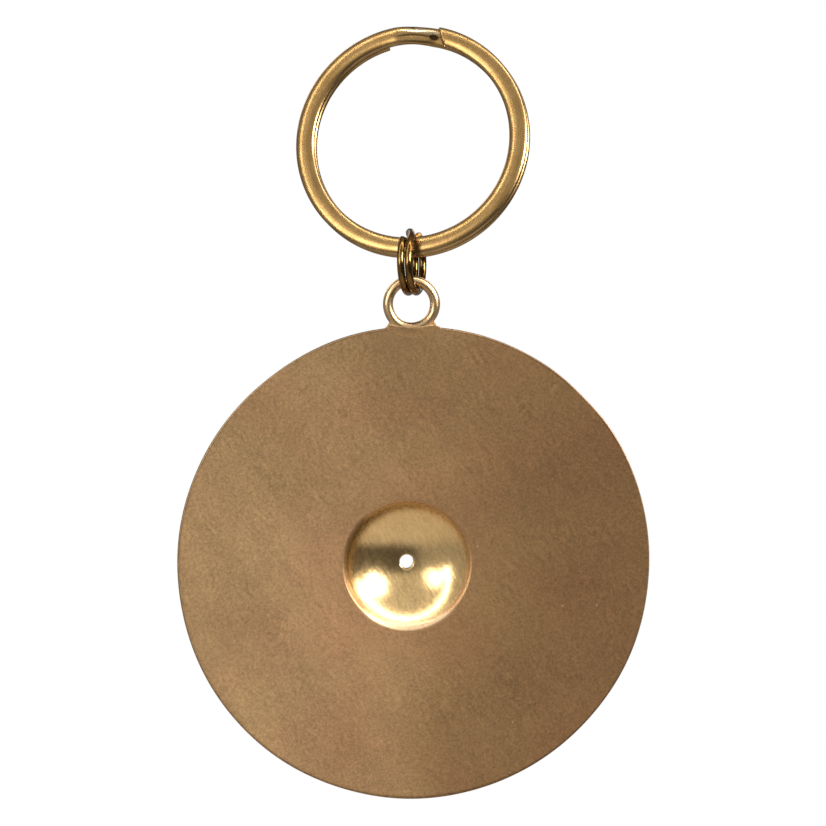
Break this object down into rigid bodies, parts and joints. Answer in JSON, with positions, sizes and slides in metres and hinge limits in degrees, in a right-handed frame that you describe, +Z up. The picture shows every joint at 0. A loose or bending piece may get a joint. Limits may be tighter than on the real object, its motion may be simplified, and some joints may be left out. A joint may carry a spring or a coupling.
{
  "type": "miniature gong key fob",
  "caption": "Small bronze gong disc with a domed boss, hung by a brazed wire eye and a small split ring from a split key ring.",
  "frame": {"origin": "middle of the key ring's inner wall at its top, where the fob hangs from a hook, key or finger", "axes": "+Z up, with the gong hanging at rest; +Y along the disc's axis, from its hollow front face to its back, where the boss stands out; +X to the right seen from the front"},
  "size_m": [0.05, 0.014, 0.0812],
  "materials": {
    "gong_bronze": "satin bronze with fine radial strokes",
    "braze": "satin",
    "eye_brass": "polished, lightly worn",
    "small_ring_brass": "polished",
    "key_ring_brass": "polished, lightly worn"
  },
  "bodies": {
    "key_ring": {"key_ring": "key_ring_brass"},
    "small_ring": {"small_split_ring": "small_ring_brass"},
    "gong": {"eye_ring": "eye_brass", "braze_joint": "braze", "gong_disc": "gong_bronze"}
  },
  "joints": [
    {"name": "small_ring_swing", "type": "hinge", "parent": "key_ring", "child": "small_ring", "pos_m": [-0.00171, -0.00731, -0.01913], "axis": [-0.3223, -0.9466, 0], "range_deg": [-35, 35]},
    {"name": "gong_swing", "type": "hinge", "parent": "small_ring", "child": "gong", "pos_m": [-0.00149, -0.00739, -0.02424], "axis": [1, 0, 0], "range_deg": [-90, 90]}
  ]
}
